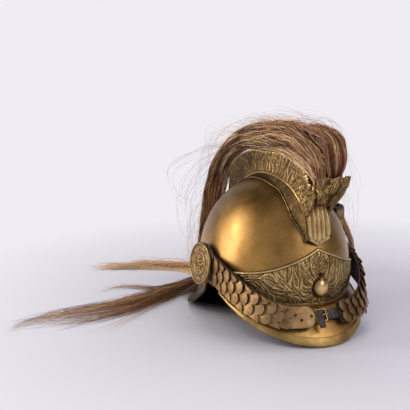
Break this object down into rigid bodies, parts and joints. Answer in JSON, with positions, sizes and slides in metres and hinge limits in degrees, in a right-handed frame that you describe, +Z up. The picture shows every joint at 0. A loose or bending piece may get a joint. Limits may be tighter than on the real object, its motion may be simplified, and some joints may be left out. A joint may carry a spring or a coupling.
{
  "type": "helmet",
  "caption": "Brass gendarme helmet with tall crest, long horsehair mane and tuft, front plate with grenade, visor, neck guard, plume socket and a hinged, buckled scale chin band.",
  "frame": {"origin": "centre of the head opening, on the plane of the bowl's rim, as the helmet lies on a table on its visor's tip and neck guard", "axes": "-Y to the front, +X to the wearer's left, +Z up; the table is 53.1 mm below the origin and the bowl leans nose-down by 4.5 degrees"},
  "size_m": [0.5179, 0.4924, 0.2713],
  "materials": {
    "bowl_brass": "satin, lacquered golden brown, faint scratches",
    "relief_brass": "antique, dark in the hollows, bright on the ridges",
    "edging_brass": "worn bright, small dents",
    "scale_brass": "dull tan, dark where scales overlap",
    "buckle_brass": "polished by use",
    "black_leather": "matt, creased",
    "liner_leather": "matt",
    "horsehair": "long brown hair with golden and red strands",
    "pale_horsehair": "long fair hair",
    "iron": "dull"
  },
  "bodies": {
    "helmet": {"bowl": "bowl_brass", "front_plate": "relief_brass", "grenade": "relief_brass", "crest_right_side": "relief_brass", "crest_left_side": "relief_brass", "crest_front_panel": "relief_brass", "crest_back_plate": "relief_brass", "crest_leaves": "relief_brass", "crest_bolts": "iron", "crest_nuts": "iron", "tuft_cup": "relief_brass", "tuft_ferrule": "relief_brass", "tuft": "horsehair", "mane_carrier": "liner_leather", "mane_crest_lock": "horsehair", "mane_falling_lock": "horsehair", "mane_table_tail": "horsehair", "mane_table_wisp": "pale_horsehair", "mane_left_strand": "pale_horsehair", "visor": "bowl_brass", "visor_edging": "edging_brass", "visor_lining": "black_leather", "visor_rivets": "relief_brass", "neck_guard": "bowl_brass", "neck_guard_edging": "edging_brass", "neck_guard_lining": "black_leather", "neck_guard_rivets": "relief_brass", "right_rosette": "relief_brass", "left_rosette": "relief_brass", "rosette_nuts": "iron", "rosette_washers": "iron", "ear_spacers": "iron", "plume_socket": "relief_brass", "plume_socket_foot": "relief_brass", "plume_socket_liner": "black_leather", "plume_socket_rivets": "relief_brass", "headband": "liner_leather", "liner_tongues": "liner_leather", "liner_lace": "liner_leather"},
    "chin_chain": {"right_chain_head": "scale_brass", "left_chain_head": "scale_brass", "right_chin_scales": "scale_brass", "left_chin_scales": "scale_brass", "right_chin_leather": "black_leather", "left_chin_leather": "black_leather", "right_end_plate": "scale_brass", "end_plate_rivets": "scale_brass", "buckle_frame": "buckle_brass", "buckle_tab": "scale_brass", "buckle_strap": "black_leather"},
    "prong": {"buckle_prong": "buckle_brass"}
  },
  "joints": [
    {"name": "chin_band_hinge", "type": "hinge", "parent": "helmet", "child": "chin_chain", "pos_m": [0, 0.00577, 0.02975], "axis": [-1, 0, 0], "range_deg": [-1.5, 38]},
    {"name": "prong_hinge", "type": "hinge", "parent": "chin_chain", "child": "prong", "pos_m": [-0.013, -0.13291, -0.01534], "axis": [0, -0.5222, -0.8528], "range_deg": [0, 12]}
  ]
}
